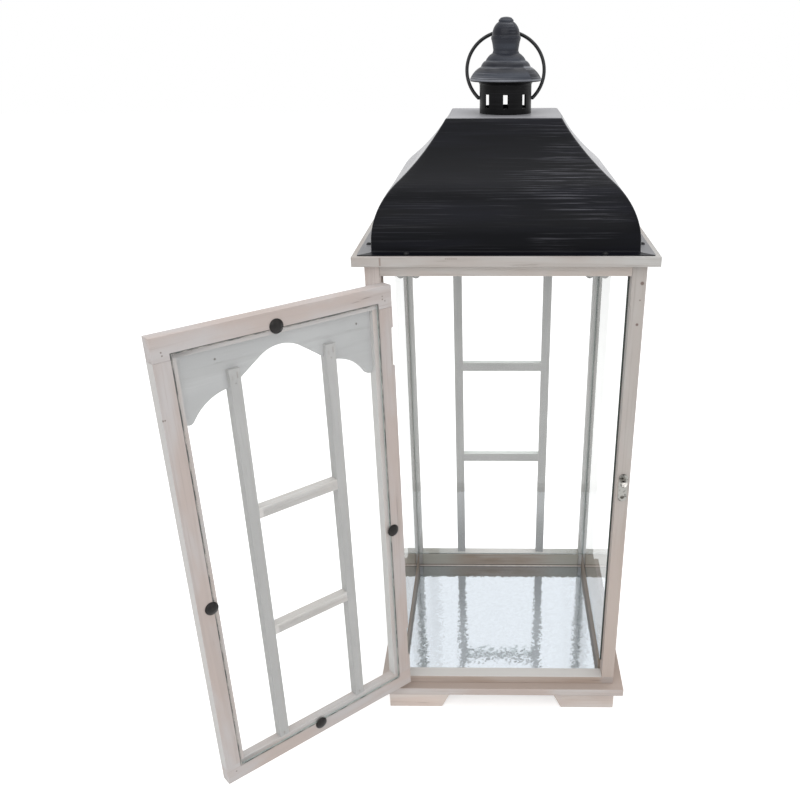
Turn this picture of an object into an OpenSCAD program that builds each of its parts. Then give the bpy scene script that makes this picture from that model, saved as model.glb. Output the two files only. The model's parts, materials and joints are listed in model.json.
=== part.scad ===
// Tall square candle lantern: timber frame, glass panes, hinged front door,
// pressed sheet roof with a slotted chimney and a ring handle.
// Origin at ground level under the centre of the body, front towards -Y.

/* [Base] */
// Height of the bracket feet
foot_h = 27.5; // [20:0.5:40]
// Distance from the base board's edge in to a foot
foot_inset = 10; // [4:0.5:20]
// Thickness of a foot
foot_t = 17; // [12:0.5:24]
// Length of a foot's leg at the ground
foot_low = 66; // [45:1:90]
// Length of a foot's leg under the base board
foot_high = 80; // [55:1:100]
// Overhang of the base board beyond the post frame
base_over = 12; // [8:0.5:24]
// Thickness of the base board
base_t = 10; // [6:0.5:18]
// Height of the front sill
sill_h = 10; // [6:0.5:18]
// Depth of the front sill
sill_d = 17; // [15:0.5:20]
// Height of the back and side bottom rails
rail_h = 25.5; // [18:0.5:40]
// Thickness of the back and side bottom rails
rail_t = 17; // [17:0.5:20]
// Thickness of the floor sheet
floor_t = 2; // [0.8:0.1:4]
// Thickness of the board under the floor sheet
floor_board_t = 3.2; // [2:0.1:6]

/* [Frame] */
// Outer width and depth of the post frame
frame_w = 278; // [250:1:310]
// Height from the base board to the top board
body_h = 523.3; // [470:0.1:620]
// Narrow side of a post
post_t = 14.5; // [12:0.5:16]
// Wide side of a post
post_w = 22; // [18:0.5:28]
// Height of the front header
header_front_h = 11.8; // [8:0.1:14]
// Height of the back and side headers
header_h = 20; // [14:0.5:30]
// Overhang of the top board beyond the post frame
top_over = 11; // [8:0.5:24]
// Thickness of the top board
top_t = 9.5; // [8.5:0.5:16]
// Width of each mitred top board
top_board_w = 40; // [34:1:60]
// Thickness of the fixed panes
pane_t = 2; // [1.5:0.1:2.4]
// Gap left round the panes and the floor sheet
pane_gap = 0.2; // [0.1:0.05:0.4]

/* [Fretwork] */
// Depth of the fretwork bars and of the door's front lip
fret_d = 9.8; // [8:0.1:10.2]
// Thickness of a valance, half lapped by the bars
valance_t = 4.9; // [3.5:0.1:6]
// Width of a fretwork bar
bar_w = 11; // [8:0.5:16]
// Height of a crossbar
crossbar_h = 11.5; // [8:0.5:16]
// Heights of the door's crossbars above the ground
door_cross_z = [212, 351]; // [150:1:400]
// Heights of the back's crossbars above the ground
back_cross_z = [220.5, 356.5]; // [150:1:400]
// Radius of the middle arch of a valance
arch_r = 38; // [30:0.5:42]
// Drop from a valance's top to its middle arch
arch_drop = 12; // [8:0.5:18]
// Slope of the valance beside the middle arch
arch_slope = 35; // [28:1:40]
// Drop from a valance's top to its side arches
side_drop = 40; // [34:0.5:46]
// Drop from a valance's top to its lowest tips
tip_drop = 64.8; // [58:0.1:72]
// Radius of a valance's tips
tip_r = 5.5; // [3:0.5:7]
// Height of the bars' upper ends below a valance's top
lap_drop = 22.5; // [18:0.5:30]

/* [Door] */
// Gap between the door and a post
door_side_gap = 1.25; // [0.9:0.05:1.75]
// Gap between the sill and the door
door_lift = 2; // [1:0.1:3]
// Gap between the door and the front header
door_top_gap = 4.5; // [2:0.1:8]
// Thickness of the door
door_t = 12.8; // [12:0.1:13.2]
// Width of the door's stiles and rails
door_member = 22; // [18:0.5:28]
// Width of the rabbet that holds the door's pane
rabbet_w = 6; // [4:0.5:8]
// Thickness of the door's pane
door_pane_t = 2.4; // [1.8:0.1:2.6]
// Gap round the door's pane
door_pane_gap = 0.5; // [0.2:0.1:1]
// Angle at which the door stands open
door_open = 137; // [0:1:180]
// Radius of a round pane retainer
retainer_r = 7; // [4:0.1:8]
// Height of a round pane retainer
retainer_h = 3.4; // [2:0.1:4]
// Height above the ground of the side retainers
retainer_z = 272; // [200:1:320]
// Offset of the top and bottom retainers from the centre
retainer_u = 6; // [0:0.5:10]
// Distance from the pane's edge out to a retainer's centre
retainer_out = 2; // [0:0.1:3]

/* [Hinges and latch] */
// Length of a hinge
hinge_l = 40; // [30:0.5:60]
// Distance from the door's top and bottom edges to a hinge's centre
hinge_inset = 63; // [50:0.5:90]
// Thickness of a hinge leaf
leaf_t = 1.2; // [0.8:0.1:1.4]
// Distance from the pin to the free edge of a leaf
leaf_reach = 14.2; // [12:0.1:15]
// Depth of the notch cut into the door's edge for a hinge
notch_d = 2.15; // [1.9:0.05:3]
// Radius of a hinge barrel
barrel_r = 2.5; // [2.1:0.1:3]
// Radius of a hinge pin
pin_r = 1.25; // [1:0.05:1.4]
// Running clearance round pins and rivets
fit_gap = 0.05; // [0.02:0.01:0.1]
// Height of the latch above the ground
latch_z = 322; // [280:1:420]
// Distance from the door's edge in to the latch's pivot
latch_inset = 10.25; // [9.25:0.25:12.25]
// Width of the latch and catch plates
plate_w = 10; // [8:0.5:13]
// Length of the latch and catch plates
plate_l = 33.5; // [26:0.5:40]
// Thickness of the latch and catch plates
plate_t = 1; // [0.8:0.1:1.5]
// Radius of the ball on the catch stud
ball_r = 4; // [3.2:0.1:4.5]
// Radius of the catch stud's shank
stud_r = 2.1; // [1.6:0.1:2.4]
// Thickness of the latch hook
hook_t = 1.2; // [1:0.1:1.4]

/* [Roof] */
// Thickness of the roof, chimney and cap sheet
sheet_t = 0.8; // [0.6:0.05:1.2]
// Distance from the top board's edge in to the roof's flange
flange_inset = 5; // [2:0.5:8]
// Width of the roof's flange
flange_lip = 12.7; // [9:0.1:16]
// Height of the roof's upright skirt
skirt_h = 7.7; // [4:0.1:14]
// Radius of the roof's convex shoulder
shoulder_r = 70; // [60:0.5:74]
// Angle swept by the shoulder
shoulder_a = 51; // [46:0.5:54]
// Radius of the roof's concave sweep
sweep_r = 229; // [215:1:250]
// Height of the roof above the top board
roof_h = 116.1; // [108:0.1:120]
// Distance from the centre to a roof screw, along the flange
roof_screw_u = 97; // [70:1:110]

/* [Chimney] */
// Outer radius of the chimney tube
tube_r = 27; // [25:0.1:28]
// Height of the chimney tube
tube_h = 31.4; // [29:0.1:36]
// Radius of the chimney tube's top flange
tube_flange_r = 36.3; // [34:0.1:36.5]
// Number of slots round the tube
slot_n = 8; // [4:4:8]
// Width of a slot
slot_w = 5.1; // [4.6:0.1:6.5]
// Height of a slot
slot_h = 12.7; // [11:0.1:14]
// Height of the slots above the roof
slot_lift = 6.1; // [5:0.1:8]
// Radius of the cap's brim
brim_r = 37; // [36.4:0.1:37.2]
// Radius of the cap's neck
neck_r = 12.9; // [12:0.1:13.6]
// Height of the cap from the tube's flange to its neck
cap_h = 27.4; // [26:0.1:30]
// Height of the finial above the cap
finial_h = 30.8; // [29:0.1:34]
// Greatest radius of the finial
finial_r = 15; // [14.2:0.1:15.2]

/* [Ring handle] */
// Radius of the ring to the middle of its wire
ring_r = 40.3; // [40:0.1:44]
// Diameter of the ring's wire
wire_d = 3.6; // [3:0.1:3.8]
// Distance from the pivot to the ring's centre
ring_rise = 28.7; // [28:0.1:29.2]
// Height of the ring's pivot above the roof
pivot_lift = 14.6; // [13.5:0.1:15]
// Angle at which the ring leans back
ring_lean = 27; // [22:1:30]

/* [Hidden] */
$fn = 64;
EPS = 1; // overshoot of a cutting tool

half = frame_w / 2;
inner = half - post_t; // inner faces of the posts
base_w = frame_w + 2 * base_over;
foot_span = base_w - 2 * foot_inset; // outer width of the square that the feet stand on
top_w = frame_w + 2 * top_over;
flange_w = top_w - 2 * flange_inset;
roof_w = flange_w - 2 * flange_lip; // above the flange
deck_z = foot_h + base_t; // top of the base board
sill_z = deck_z + sill_h;
rail_z = deck_z + rail_h;
floor_z = deck_z + floor_board_t + floor_t; // top of the floor sheet
head_z = deck_z + body_h; // underside of the top board
roof_z = head_z + top_t;
roof_top_z = roof_z + roof_h;

door_half = inner - door_side_gap;
door_z = sill_z + door_lift;
door_top_z = head_z - header_front_h - door_top_gap;
sight_half = door_half - door_member;
sight_low = door_z + door_member;
sight_top = door_top_z - door_member;

back_half = half - post_w; // clear opening of the back
back_top = head_z - header_h;

door_bar_u = sight_half / 2; // the bars stand at the quarter points
back_bar_u = back_half / 2;

leaf_gap = 0.1; // between a leaf's plate and the other leaf's knuckles
barrel_gap = 0.2; // between the barrel and the front faces
knuckle_gap = 0.15;
pin_x = -(inner + door_half - notch_d) / 2;
pin_y = -half - barrel_r - barrel_gap;
hinge_z = [door_z + hinge_inset, door_top_z - hinge_inset];
knuckle_h = (hinge_l - 2 * knuckle_gap) / 3;
leaf_screw_z = 0.3 * hinge_l; // from a hinge's centre
leaf_screw_y = pin_y + leaf_reach - 5.2;

screw_r = 1.1;
screw_head_r = 2.2;
screw_l = 9.5;
roof_screw_r = 1.5;
roof_screw_l = 8;
roof_screw_v = (flange_w - flange_lip) / 2; // in the middle of the flange
nail_r = 0.6;
nail_l = 8;
nail_drop = 36; // of a lap nail below a valance's top

stud_x = half - post_t / 2;
latch_u = door_half - latch_inset;
latch_reach = stud_x - latch_u;
plate_screw_d = plate_l - plate_w - 4; // from a plate's screw to its stud or rivet
hook_gap = 0.3; // between the latch plate and the hook
rivet_r = 2;
rivet_head_r = 3.6;
rivet_head_h = 1.3;
notch_r = stud_r + 0.3;
stud_l = 8; // in the post

tube_z = roof_top_z;
tube_top_z = tube_z + tube_h;
tube_tuck = 3; // of the tube below the roof sheet
slot_z = tube_z + slot_lift;
cap_z = tube_top_z;
neck_z = cap_z + cap_h;
pivot_z = tube_z + pivot_lift;
wire_r = wire_d / 2;

// ---- shared shapes ----

// Block between two opposite corners
module slab(low, high) { translate(low) cube(high - low); }

// Points of an arc from p to q that bulges to the right of the way by sag,
// in n steps and from the given step on
function arc_pts(p, q, sag, n = 8, start = 0) =
  let (
    chord = norm(q - p),
    r = (chord * chord / 4 + sag * sag) / (2 * abs(sag)),
    side = [q.y - p.y, p.x - q.x] / chord,
    c = (p + q) / 2 + side * (sag - sign(sag) * r),
    a0 = atan2(p.y - c.y, p.x - c.x),
    a1 = atan2(q.y - c.y, q.x - c.x),
    turn = ((a1 - a0 + 540) % 360) - 180
  ) [for (i = [start:n]) c + r * [cos(a0 + turn * i / n), sin(a0 + turn * i / n)]];

// Countersunk wood screw with its head at the origin, pointing to -Z,
// or with a gap the hole that takes it
module wood_screw(gap = 0) {
  slot_t = 0.3; // half the width of the driving slot
  slot_d = 0.5;
  difference() {
    union() {
      translate([0, 0, -leaf_t])
        cylinder(h = leaf_t, r1 = screw_r + gap, r2 = screw_head_r + gap);
      translate([0, 0, -screw_l - gap]) cylinder(h = screw_l + gap, r = screw_r + gap);
      if (gap > 0) cylinder(h = EPS, r = screw_head_r + gap);
    }
    if (gap == 0)
      slab([-screw_head_r - EPS, -slot_t, -slot_d], [screw_head_r + EPS, slot_t, EPS]);
  }
}

// Nail with its head at the origin, pointing to -Z, or with a gap its hole
module nail(gap = 0) {
  translate([0, 0, -nail_l - gap])
    cylinder(h = nail_l + gap + (gap > 0 ? EPS : 0), r = nail_r + gap);
}

// Stands a drawing in (u, z) upright, from depth 0 to t behind the outer face
module upright(t) { translate([0, t, 0]) rotate([90, 0, 0]) linear_extrude(t) children(); }

// ---- base ----

module foot_leg() {
  span = foot_span / 2;
  translate([span, span, 0]) rotate([90, 0, 0]) linear_extrude(foot_t)
    polygon([[0, 0], [-foot_low, 0], [-foot_high, foot_h], [0, foot_h]]);
}

module foot(turn) {
  color("#cfc5be") rotate([0, 0, turn]) {
    foot_leg();
    mirror([1, -1, 0]) foot_leg();
  }
}

module base_board() {
  w = base_w / 2;
  color("#c9beb6") slab([-w, -w, foot_h], [w, w, deck_z]);
}

module sill_front() {
  color("#c4b9b1") slab([-half, -half, deck_z], [half, -half + sill_d, sill_z]);
}

module rail_back() {
  color("#8f8a86") slab([-back_half, half - rail_t, deck_z], [back_half, half, rail_z]);
}

module rail_side(side) {
  color("#8f8a86") mirror([side < 0 ? 1 : 0, 0, 0])
    slab([half - rail_t, -half + post_w, deck_z], [half, inner, rail_z]);
}

module floor_layer(z0, z1) {
  w = half - rail_t - pane_gap;
  slab([-w, -half + sill_d + pane_gap, z0], [w, w, z1]);
}

module floor_board() { color("#8f8a86") floor_layer(deck_z, floor_z - floor_t); }

module floor_sheet() { color("#aeb9c2") floor_layer(floor_z - floor_t, floor_z); }

// ---- frame ----

// Right front post, notched over the sill
module front_post_blank() {
  difference() {
    slab([inner, -half, deck_z], [half, -half + post_w, head_z]);
    slab([inner - EPS, -half - EPS, deck_z - EPS], [half + EPS, -half + sill_d, sill_z]);
  }
}

module post_front_left() {
  color("#bfb4ad") difference() {
    mirror([1, 0, 0]) front_post_blank();
    post_leaf_screws(fit_gap);
  }
}

module post_front_right() {
  color("#bfb4ad") difference() {
    front_post_blank();
    catch_stud_shape(fit_gap);
    catch_screw_at(fit_gap);
  }
}

module post_back(side) {
  color("#a7a19c") mirror([side < 0 ? 1 : 0, 0, 0])
    slab([back_half, inner, deck_z], [half, half, head_z]);
}

module header_front() {
  color("#bfb4ad") slab([-inner, -half, head_z - header_front_h], [inner, -inner, head_z]);
}

module header_back() {
  color("#a7a19c") slab([-back_half, inner, back_top], [back_half, half, head_z]);
}

module header_side(side) {
  color("#a7a19c") mirror([side < 0 ? 1 : 0, 0, 0])
    slab([inner, -half + post_w, head_z - header_h], [half, inner, head_z]);
}

// Mitred board of the top frame, front one turned about the centre
module top_board(turn) {
  w = top_w / 2;
  v = w - top_board_w;
  color("#cdc2ba") difference() {
    rotate([0, 0, turn]) translate([0, 0, head_z]) linear_extrude(top_t)
      polygon([[-w, -w], [w, -w], [v, -v], [-v, -v]]);
    roof_screw_set(fit_gap);
  }
}

module pane_side(side) {
  color("#dfe9ea", 0.35) mirror([side < 0 ? 1 : 0, 0, 0])
    slab([inner - pane_t, -inner + pane_gap, rail_z], [inner, inner - pane_gap, head_z - pane_gap]);
}

module pane_back() {
  w = inner - pane_t - pane_gap;
  color("#dfe9ea", 0.35) slab([-w, inner - pane_t, rail_z], [w, inner, head_z - pane_gap]);
}

// ---- fretwork, drawn behind an outer face at y = 0 ----

// Outline of a valance as wide as its opening, with a middle arch and two side arches
module valance_shape(half_w, top, bar_u) {
  arch_z = top - arch_drop - arch_r;
  flank_u = arch_r * sin(arch_slope);
  flank_z = arch_z + arch_r * cos(arch_slope);
  flank_end = flank_z - (bar_u - flank_u) * tan(arch_slope);
  apex = top - side_drop;
  tip_u = half_w - tip_r * 0.8;
  tip_z = top - tip_drop + tip_r;
  rise = apex - tip_z;
  run = tip_u - bar_u;
  side_r = (run * run + rise * rise - tip_r * tip_r) / (2 * (tip_r + rise));
  touch_z = (tip_z * side_r + (apex - side_r) * tip_r) / (side_r + tip_r);
  floor_z = touch_z - side_r;
  difference() {
    union() {
      translate([-half_w, touch_z]) square([2 * half_w, top - touch_z]);
      intersection() {
        for (s = [-1, 1]) translate([s * tip_u, tip_z]) circle(tip_r);
        translate([-half_w, tip_z - tip_r]) square([2 * half_w, 2 * tip_r]);
      }
    }
    translate([0, arch_z]) circle(arch_r);
    polygon([[-bar_u, floor_z], [-bar_u, flank_end], [-flank_u, flank_z],
      [flank_u, flank_z], [bar_u, flank_end], [bar_u, floor_z]]);
    for (s = [-1, 1]) translate([s * bar_u, apex - side_r]) circle(side_r);
  }
}

module lap_nails(top, bar_u, gap = 0) {
  for (s = [-1, 1])
    translate([s * bar_u, fret_d, top - nail_drop]) rotate([-90, 0, 0]) nail(gap);
}

module valance(half_w, top, bar_u) {
  difference() {
    upright(valance_t) valance_shape(half_w, top, bar_u);
    lap_nails(top, bar_u, fit_gap);
  }
}

// Upright bar whose top laps over the valance
module mullion(side, half_w, low, top, bar_u) {
  difference() {
    slab([side * bar_u - bar_w / 2, 0, low], [side * bar_u + bar_w / 2, fret_d, top - lap_drop]);
    upright(valance_t) valance_shape(half_w, top, bar_u);
    lap_nails(top, bar_u, fit_gap);
  }
}

module crossbars(heights, bar_u) {
  u = bar_u - bar_w / 2;
  for (z = heights) slab([-u, 0, z - crossbar_h / 2], [u, fret_d, z + crossbar_h / 2]);
}

// Puts the back fretwork behind the back opening, outer face towards +Y
module at_back() { translate([0, half, 0]) rotate([0, 0, 180]) children(); }

module back_valance() { color("#b9bcbc") at_back() valance(back_half, back_top, back_bar_u); }

module back_mullion(side) {
  color("#b4b8b9") at_back() mullion(-side, back_half, rail_z, back_top, back_bar_u);
}

module back_crossbars() { color("#b4b8b9") at_back() crossbars(back_cross_z, back_bar_u); }

module back_nails() { color("#6b6764") at_back() lap_nails(back_top, back_bar_u); }

// ---- roof ----

// Half-width of the concave sweep at height z, with the outline drawn in by t
function sweep_x(z, t) =
  let (
    c = [roof_w / 2 - shoulder_r, roof_z + skirt_h]
      + (shoulder_r + sweep_r) * [cos(shoulder_a), sin(shoulder_a)],
    r = sweep_r + t,
    d = c.y - z
  ) c.x - sqrt(r * r - d * d);

// Right half of the roof's upright outline, drawn in by t
module roof_outline(t) {
  c = [roof_w / 2 - shoulder_r, roof_z + skirt_h];
  way = [cos(shoulder_a), sin(shoulder_a)];
  touch = c + (shoulder_r - t) * way;
  top = roof_top_z - t;
  low = roof_z - (t > 0 ? EPS : 0);
  difference() {
    union() {
      translate([0, low]) square([roof_w / 2 - t, c.y - low]);
      intersection() {
        translate(c) circle(shoulder_r - t, $fn = 128);
        translate(c) square(2 * shoulder_r);
      }
      polygon([[0, c.y], c, touch, [sweep_x(top, t), top], [0, top]]);
    }
    translate(c + (shoulder_r + sweep_r) * way) circle(sweep_r + t, $fn = 256);
  }
}

// One of four mitred sides of the roof, with its share of the flange and the flat top
module roof_side() {
  reach = flange_w / 2;
  intersection() {
    translate([0, reach, 0]) rotate([90, 0, 0]) linear_extrude(flange_w) {
      difference() {
        roof_outline(0);
        roof_outline(sheet_t);
      }
      translate([roof_w / 2 - sheet_t, roof_z])
        square([reach - roof_w / 2 + sheet_t, sheet_t]);
    }
    translate([0, 0, roof_z - EPS]) linear_extrude(roof_h + 2 * EPS)
      polygon([[0, 0], [reach + EPS, -reach - EPS], [reach + EPS, reach + EPS]]);
  }
}

module roof_shell() {
  color("#242528") difference() {
    union() for (turn = [0:90:270]) rotate([0, 0, turn]) roof_side();
    translate([0, 0, roof_top_z - sheet_t - EPS])
      cylinder(h = sheet_t + 2 * EPS, r = tube_r + fit_gap);
    roof_screw_set(fit_gap);
  }
}

module roof_screw(gap = 0) {
  head = [3, 1.8]; // radius and height
  translate([0, 0, roof_z + sheet_t]) {
    translate([0, 0, -roof_screw_l - gap])
      cylinder(h = roof_screw_l + gap + (gap > 0 ? EPS : 0), r = roof_screw_r + gap);
    if (gap == 0) rotate_extrude()
      polygon(concat([[0, 0]], arc_pts([head.x, 0], [0, head.y], 0.6)));
  }
}

// Two screws through each side of the flange
module roof_screw_set(gap = 0) {
  for (turn = [0:90:270], s = [-1, 1])
    rotate([0, 0, turn]) translate([roof_screw_v, s * roof_screw_u, 0]) roof_screw(gap);
}

module roof_screws() { color("#3a3b3f") roof_screw_set(); }

// ---- chimney ----

module chimney_tube() {
  flare_r = 4;
  low = tube_z - sheet_t - tube_tuck;
  top = tube_top_z;
  flare = [tube_r + flare_r, top - sheet_t - flare_r];
  wall = tube_r - sheet_t;
  color("#2b2c2f") difference() {
    rotate_extrude() {
      translate([wall, low]) square([sheet_t, flare.y - low]);
      intersection() {
        translate([wall, flare.y]) square(flare_r + sheet_t);
        difference() {
          translate(flare) circle(flare_r + sheet_t);
          translate(flare) circle(flare_r);
        }
      }
      translate([flare.x, top - sheet_t]) square([tube_flange_r - flare.x, sheet_t]);
      translate([wall, tube_z - 2 * sheet_t]) square([flare_r + sheet_t, sheet_t]);
    }
    for (i = [0:slot_n - 1]) rotate([0, 0, i * 360 / slot_n])
      slab([wall - EPS, -slot_w / 2, slot_z], [tube_r + EPS, slot_w / 2, slot_z + slot_h]);
  }
}

// Outline of the cap's three bells, lowered by d
function cap_pts(d) =
  let (
    step1 = [0.705 * brim_r, 0.45 * cap_h],
    step2 = [0.575 * brim_r, 0.655 * cap_h],
    top = [neck_r + 0.9, cap_h - 2.3],
    low = [brim_r - 0.3, 1.3],
    at = [0, cap_z - d]
  ) [for (p = concat(arc_pts(low, step1, 1.3), arc_pts(step1 - [0.5, -0.1], step2, 0.75, 6),
      arc_pts(step2 - [0.5, -0.1], top, 0.8, 6), [[neck_r, cap_h]])) p + at];

module chimney_cap() {
  bead = 0.9;
  drop = 1.15; // of the inner face, for about one sheet's thickness on the slope
  up = cap_pts(0);
  down = [for (i = [len(up) - 1:-1:0]) cap_pts(drop)[i]];
  color("#4a4c52") rotate_extrude() {
    polygon(concat(up, [[neck_r - sheet_t, neck_z], [neck_r - sheet_t, neck_z - drop]],
      [for (i = [1:len(down) - 1]) down[i]]));
    translate([brim_r - bead, cap_z + bead]) circle(bead);
  }
}

module finial() {
  spigot_r = neck_r - sheet_t - fit_gap;
  spigot_l = 3;
  waist = [finial_r, 0.35 * finial_h];
  groove = waist + [-1.1, 3.6];
  dome = [finial_r - 6.1, finial_h - 5.4];
  button = [finial_r - 7.4, finial_h - 3];
  crown = [finial_r - 9.7, finial_h - 0.9];
  color("#44464c") translate([0, 0, neck_z]) difference() {
    union() {
      rotate_extrude() polygon(concat([[0, 0]], arc_pts([neck_r, 0], waist, -0.3, 6),
        arc_pts(waist, groove, 0.5, 5, 1), arc_pts(groove + [0.1, 0.8], dome, 1.15),
        [button - [0, 1.6]], [button], arc_pts(crown, [0, finial_h], 0.2, 4)));
      translate([0, 0, -spigot_l]) cylinder(h = spigot_l + EPS, r = spigot_r);
    }
    translate([0, 0, -spigot_l - EPS])
      cylinder(h = spigot_l + EPS + waist.y, r = spigot_r - sheet_t);
    translate([0, 0, waist.y]) sphere(r = finial_r - 3.6);
  }
}

// ---- ring handle, pivoting in two side slots of the chimney ----

module ring_handle() {
  gap_a = acos(ring_rise / ring_r); // half of the missing sector
  end_x = ring_r * sin(gap_a);
  tuck = 3.2; // of an end inside the tube's outer face
  color("#1d1e20") translate([0, 0, pivot_z]) rotate([-ring_lean, 0, 0]) {
    translate([0, 0, ring_rise]) rotate([90, 0, 0]) rotate([0, 0, gap_a - 90])
      rotate_extrude(angle = 360 - 2 * gap_a) translate([ring_r, 0]) circle(wire_r);
    for (s = [-1, 1]) {
      translate([s * end_x, 0, 0]) sphere(r = wire_r + 0.05);
      translate([s * (end_x + tube_r - tuck) / 2, 0, 0]) rotate([0, 90, 0])
        cylinder(h = end_x - tube_r + tuck, r = wire_r - 0.02, center = true);
    }
  }
}

// ---- hinges ----

// Leaf with its plate from x_low, and the numbered knuckles it carries
module hinge_leaf(x_low, knuckles) {
  start = pin_y + barrel_r + leaf_gap;
  for (zc = hinge_z) difference() {
    union() {
      slab([x_low, start, zc - hinge_l / 2], [x_low + leaf_t, pin_y + leaf_reach, zc + hinge_l / 2]);
      for (i = knuckles) translate([0, 0, zc - hinge_l / 2 + i * (knuckle_h + knuckle_gap)]) {
        translate([pin_x, pin_y, 0]) cylinder(h = knuckle_h, r = barrel_r);
        slab([x_low, pin_y, 0], [x_low + leaf_t, start, knuckle_h]);
      }
    }
    translate([pin_x, pin_y, zc - hinge_l / 2 - EPS])
      cylinder(h = hinge_l + 2 * EPS, r = pin_r + fit_gap);
  }
}

module hinge_leaves_post() {
  color("#b9b7b2") difference() {
    hinge_leaf(-inner, [0, 2]);
    post_leaf_screws(fit_gap);
  }
}

module post_leaf_screws(gap = 0) {
  for (zc = hinge_z, s = [-1, 1])
    translate([-inner + leaf_t, leaf_screw_y, zc + s * leaf_screw_z]) rotate([0, 90, 0])
      wood_screw(gap);
}

module hinge_screws_post() { color("#c4c2bc") post_leaf_screws(); }

module hinge_pins() {
  head_r = pin_r + 0.6;
  head_h = 0.7;
  color("#a9a7a2") for (zc = hinge_z) translate([pin_x, pin_y, zc]) {
    cylinder(h = hinge_l + 2 * fit_gap, r = pin_r, center = true);
    for (s = [-1, 1]) translate([0, 0, s * (hinge_l / 2 + fit_gap + head_h / 2)])
      cylinder(h = head_h, r = head_r, center = true);
  }
}

// ---- catch on the right post ----

// Round-ended plate standing on its face, with its lower round end at the origin
module fitting_plate() {
  r = plate_w / 2;
  upright(plate_t) union() {
    circle(r);
    translate([-r, 0]) square([plate_w, plate_l - plate_w]);
    translate([0, plate_l - plate_w]) circle(r);
  }
}

module catch_plate() {
  color("#b9b7b2") difference() {
    translate([stud_x, -half - plate_t, latch_z - plate_screw_d]) fitting_plate();
    catch_stud_shape(fit_gap);
    catch_screw_at(fit_gap);
  }
}

module catch_stud_shape(gap = 0) {
  neck = 5.6; // from the plate to the ball's centre
  translate([stud_x, -half - plate_t, latch_z]) rotate([90, 0, 0]) {
    translate([0, 0, -stud_l - gap]) cylinder(h = stud_l + gap + neck, r = stud_r + gap);
    if (gap == 0) translate([0, 0, neck]) sphere(r = ball_r);
  }
}

module catch_stud() { color("#cfcdc8") catch_stud_shape(); }

module catch_screw_at(gap = 0) {
  translate([stud_x, -half - plate_t, latch_z - plate_screw_d]) rotate([90, 0, 0])
    wood_screw(gap);
}

module catch_screw() { color("#c4c2bc") catch_screw_at(); }

// ---- door, drawn closed with its outer face at y = 0 ----

module at_door() {
  translate([pin_x, pin_y, 0]) rotate([0, 0, -door_open]) translate([-pin_x, -pin_y - half, 0])
    children();
}

// The recess for the pane, behind the front lip
module rabbet() {
  w = sight_half + rabbet_w;
  slab([-w, fret_d, sight_low - rabbet_w], [w, door_t + EPS, sight_top + rabbet_w]);
}

module door_stile(side) {
  difference() {
    mirror([side < 0 ? 1 : 0, 0, 0])
      slab([sight_half, 0, sight_low], [door_half, door_t, sight_top]);
    rabbet();
  }
}

module door_stile_hinge() {
  color("#c3b8b0") at_door() difference() {
    door_stile(-1);
    for (zc = hinge_z)
      slab([-door_half - EPS, -EPS, zc - hinge_l / 2],
        [-door_half + notch_d, door_t + EPS, zc + hinge_l / 2]);
    translate([0, half, 0]) door_leaf_screws(fit_gap);
  }
}

module door_stile_latch() {
  color("#c3b8b0") at_door() difference() {
    door_stile(1);
    latch_rivet_shape(fit_gap);
    latch_screw_at(fit_gap);
  }
}

module door_rail(low) {
  color("#c3b8b0") at_door() difference() {
    slab([-door_half, 0, low], [door_half, door_t, low + door_member]);
    rabbet();
  }
}

module door_pane() {
  w = sight_half + rabbet_w - door_pane_gap;
  reach = rabbet_w - door_pane_gap;
  color("#dfe9ea", 0.35) at_door()
    slab([-w, fret_d, sight_low - reach], [w, fret_d + door_pane_t, sight_top + reach]);
}

module door_valance() { color("#b4b8b9") at_door() valance(sight_half, sight_top, door_bar_u); }

module door_mullion(side) {
  color("#b4b8b9") at_door() mullion(side, sight_half, sight_low, sight_top, door_bar_u);
}

module door_crossbars() { color("#b4b8b9") at_door() crossbars(door_cross_z, door_bar_u); }

module door_nails() { color("#6b6764") at_door() lap_nails(sight_top, door_bar_u); }

// Domed buttons over the pane's edge, one on each side of the door
module pane_retainers() {
  rim_h = 0.6;
  out = rabbet_w + retainer_out;
  w = sight_half + out;
  places = [[-w, retainer_z], [w, retainer_z],
    [retainer_u, sight_low - out], [retainer_u, sight_top + out]];
  color("#1f1d1c") at_door() for (p = places)
    translate([p.x, door_t, p.y]) rotate([-90, 0, 0]) rotate_extrude()
      polygon(concat([[0, 0], [retainer_r, 0]],
        arc_pts([retainer_r, rim_h], [0, retainer_h], 0.8)));
}

module hinge_leaves_door() {
  color("#b9b7b2") at_door() translate([0, half, 0]) difference() {
    hinge_leaf(-door_half + notch_d - leaf_t, [1]);
    door_leaf_screws(fit_gap);
  }
}

module door_leaf_screws(gap = 0) {
  for (zc = hinge_z, s = [-1, 1])
    translate([-door_half + notch_d - leaf_t, leaf_screw_y, zc + s * leaf_screw_z])
      rotate([0, -90, 0]) wood_screw(gap);
}

module hinge_screws_door() {
  color("#c4c2bc") at_door() translate([0, half, 0]) door_leaf_screws();
}

module latch_plate() {
  color("#b9b7b2") at_door() difference() {
    translate([latch_u, -plate_t, latch_z + plate_screw_d]) mirror([0, 0, 1]) fitting_plate();
    latch_rivet_shape(fit_gap);
    latch_screw_at(fit_gap);
  }
}

module latch_rivet_shape(gap = 0) {
  head = hook_t + 2 * hook_gap;
  translate([latch_u, -plate_t, latch_z]) rotate([90, 0, 0]) {
    translate([0, 0, -stud_l - gap]) cylinder(h = stud_l + gap + head, r = rivet_r + gap);
    if (gap == 0) translate([0, 0, head]) cylinder(h = rivet_head_h, r1 = rivet_head_r, r2 = rivet_r);
  }
}

module latch_rivet() { color("#a9a7a2") at_door() latch_rivet_shape(); }

module latch_screw_at(gap = 0) {
  translate([latch_u, -plate_t, latch_z + plate_screw_d]) rotate([90, 0, 0]) wood_screw(gap);
}

module latch_screw() { color("#c4c2bc") at_door() latch_screw_at(); }

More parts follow.
